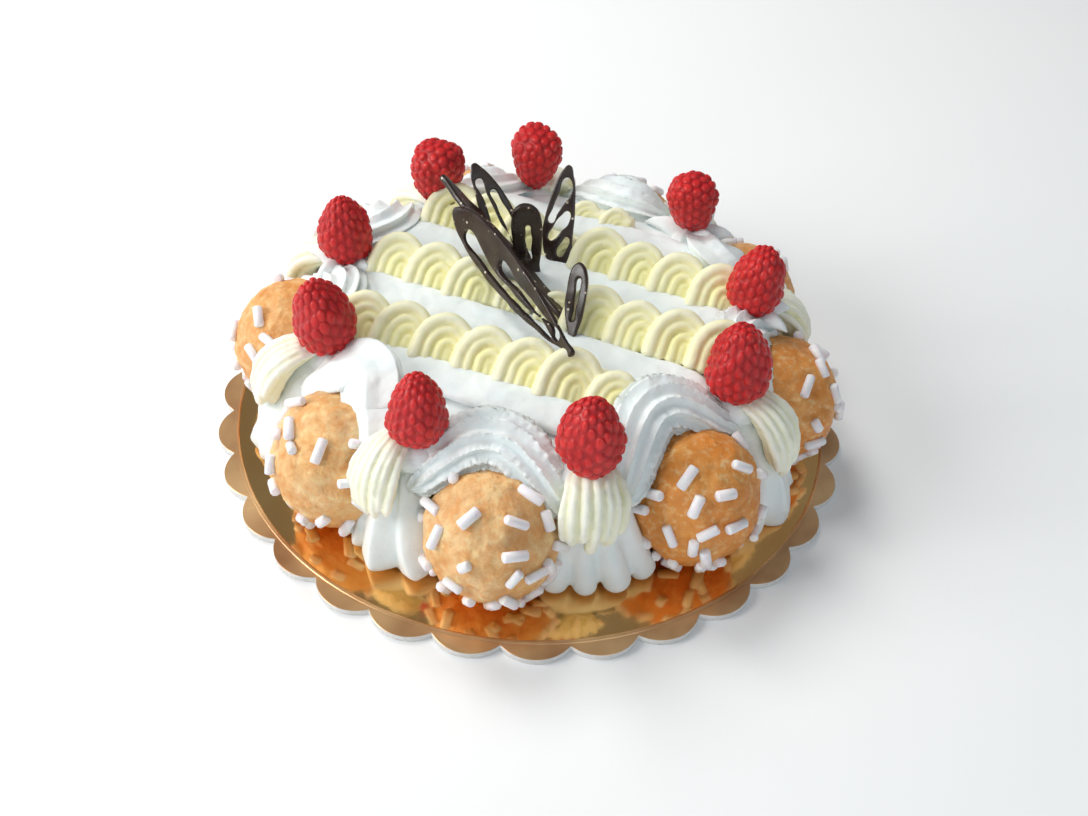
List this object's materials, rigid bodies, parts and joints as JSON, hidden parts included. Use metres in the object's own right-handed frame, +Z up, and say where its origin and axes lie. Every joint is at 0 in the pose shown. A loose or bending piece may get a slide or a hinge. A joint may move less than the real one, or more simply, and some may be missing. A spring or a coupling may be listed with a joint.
{
  "type": "chantilly cake",
  "caption": "Round chantilly cream cake on a gold scalloped card board, ringed with sugared choux puffs, piped cream, red berries and pierced chocolate leaves.",
  "frame": {"origin": "centre of the board's underside", "axes": "+Z up through the cake, -Y towards the side that faces the viewer in the picture, +X to the viewer's right"},
  "size_m": [0.2194, 0.2198, 0.0769],
  "materials": {
    "gold_card": "gold foil on white card",
    "white_cream": "whipped cream",
    "yellow_cream": "pale custard cream",
    "choux": "baked choux with white sugar",
    "red_berry": "fresh red berry",
    "dark_chocolate": "tempered dark chocolate"
  },
  "bodies": {
    "root": {"board": "gold_card", "cake": "white_cream", "puff_1": "choux", "cream_swag_1": "white_cream", "cream_column_1": "white_cream", "cream_rosette_1": "yellow_cream", "berry_1": "red_berry", "puff_2": "choux", "cream_swag_2": "white_cream", "cream_column_2": "white_cream", "cream_rosette_2": "yellow_cream", "berry_2": "red_berry", "puff_3": "choux", "cream_swag_3": "white_cream", "cream_column_3": "white_cream", "cream_rosette_3": "yellow_cream", "berry_3": "red_berry", "puff_4": "choux", "cream_swag_4": "white_cream", "cream_column_4": "white_cream", "cream_rosette_4": "yellow_cream", "berry_4": "red_berry", "puff_5": "choux", "cream_swag_5": "white_cream", "cream_column_5": "white_cream", "cream_rosette_5": "yellow_cream", "berry_5": "red_berry", "puff_6": "choux", "cream_swag_6": "white_cream", "cream_column_6": "white_cream", "cream_rosette_6": "yellow_cream", "berry_6": "red_berry", "puff_7": "choux", "cream_swag_7": "white_cream", "cream_column_7": "white_cream", "cream_rosette_7": "yellow_cream", "berry_7": "red_berry", "puff_8": "choux", "cream_swag_8": "white_cream", "cream_column_8": "white_cream", "cream_rosette_8": "yellow_cream", "berry_8": "red_berry", "puff_9": "choux", "cream_swag_9": "white_cream", "cream_column_9": "white_cream", "cream_rosette_9": "yellow_cream", "berry_9": "red_berry", "cream_row_1": "yellow_cream", "cream_row_2": "yellow_cream", "cream_row_3": "yellow_cream", "cream_row_4": "yellow_cream", "cream_band_1": "white_cream", "cream_band_2": "white_cream", "chocolate_leaf_1": "dark_chocolate", "chocolate_leaf_2": "dark_chocolate", "chocolate_leaf_3": "dark_chocolate", "chocolate_leaf_4": "dark_chocolate", "chocolate_leaf_5": "dark_chocolate", "chocolate_leaf_6": "dark_chocolate"}
  },
  "joints": []
}
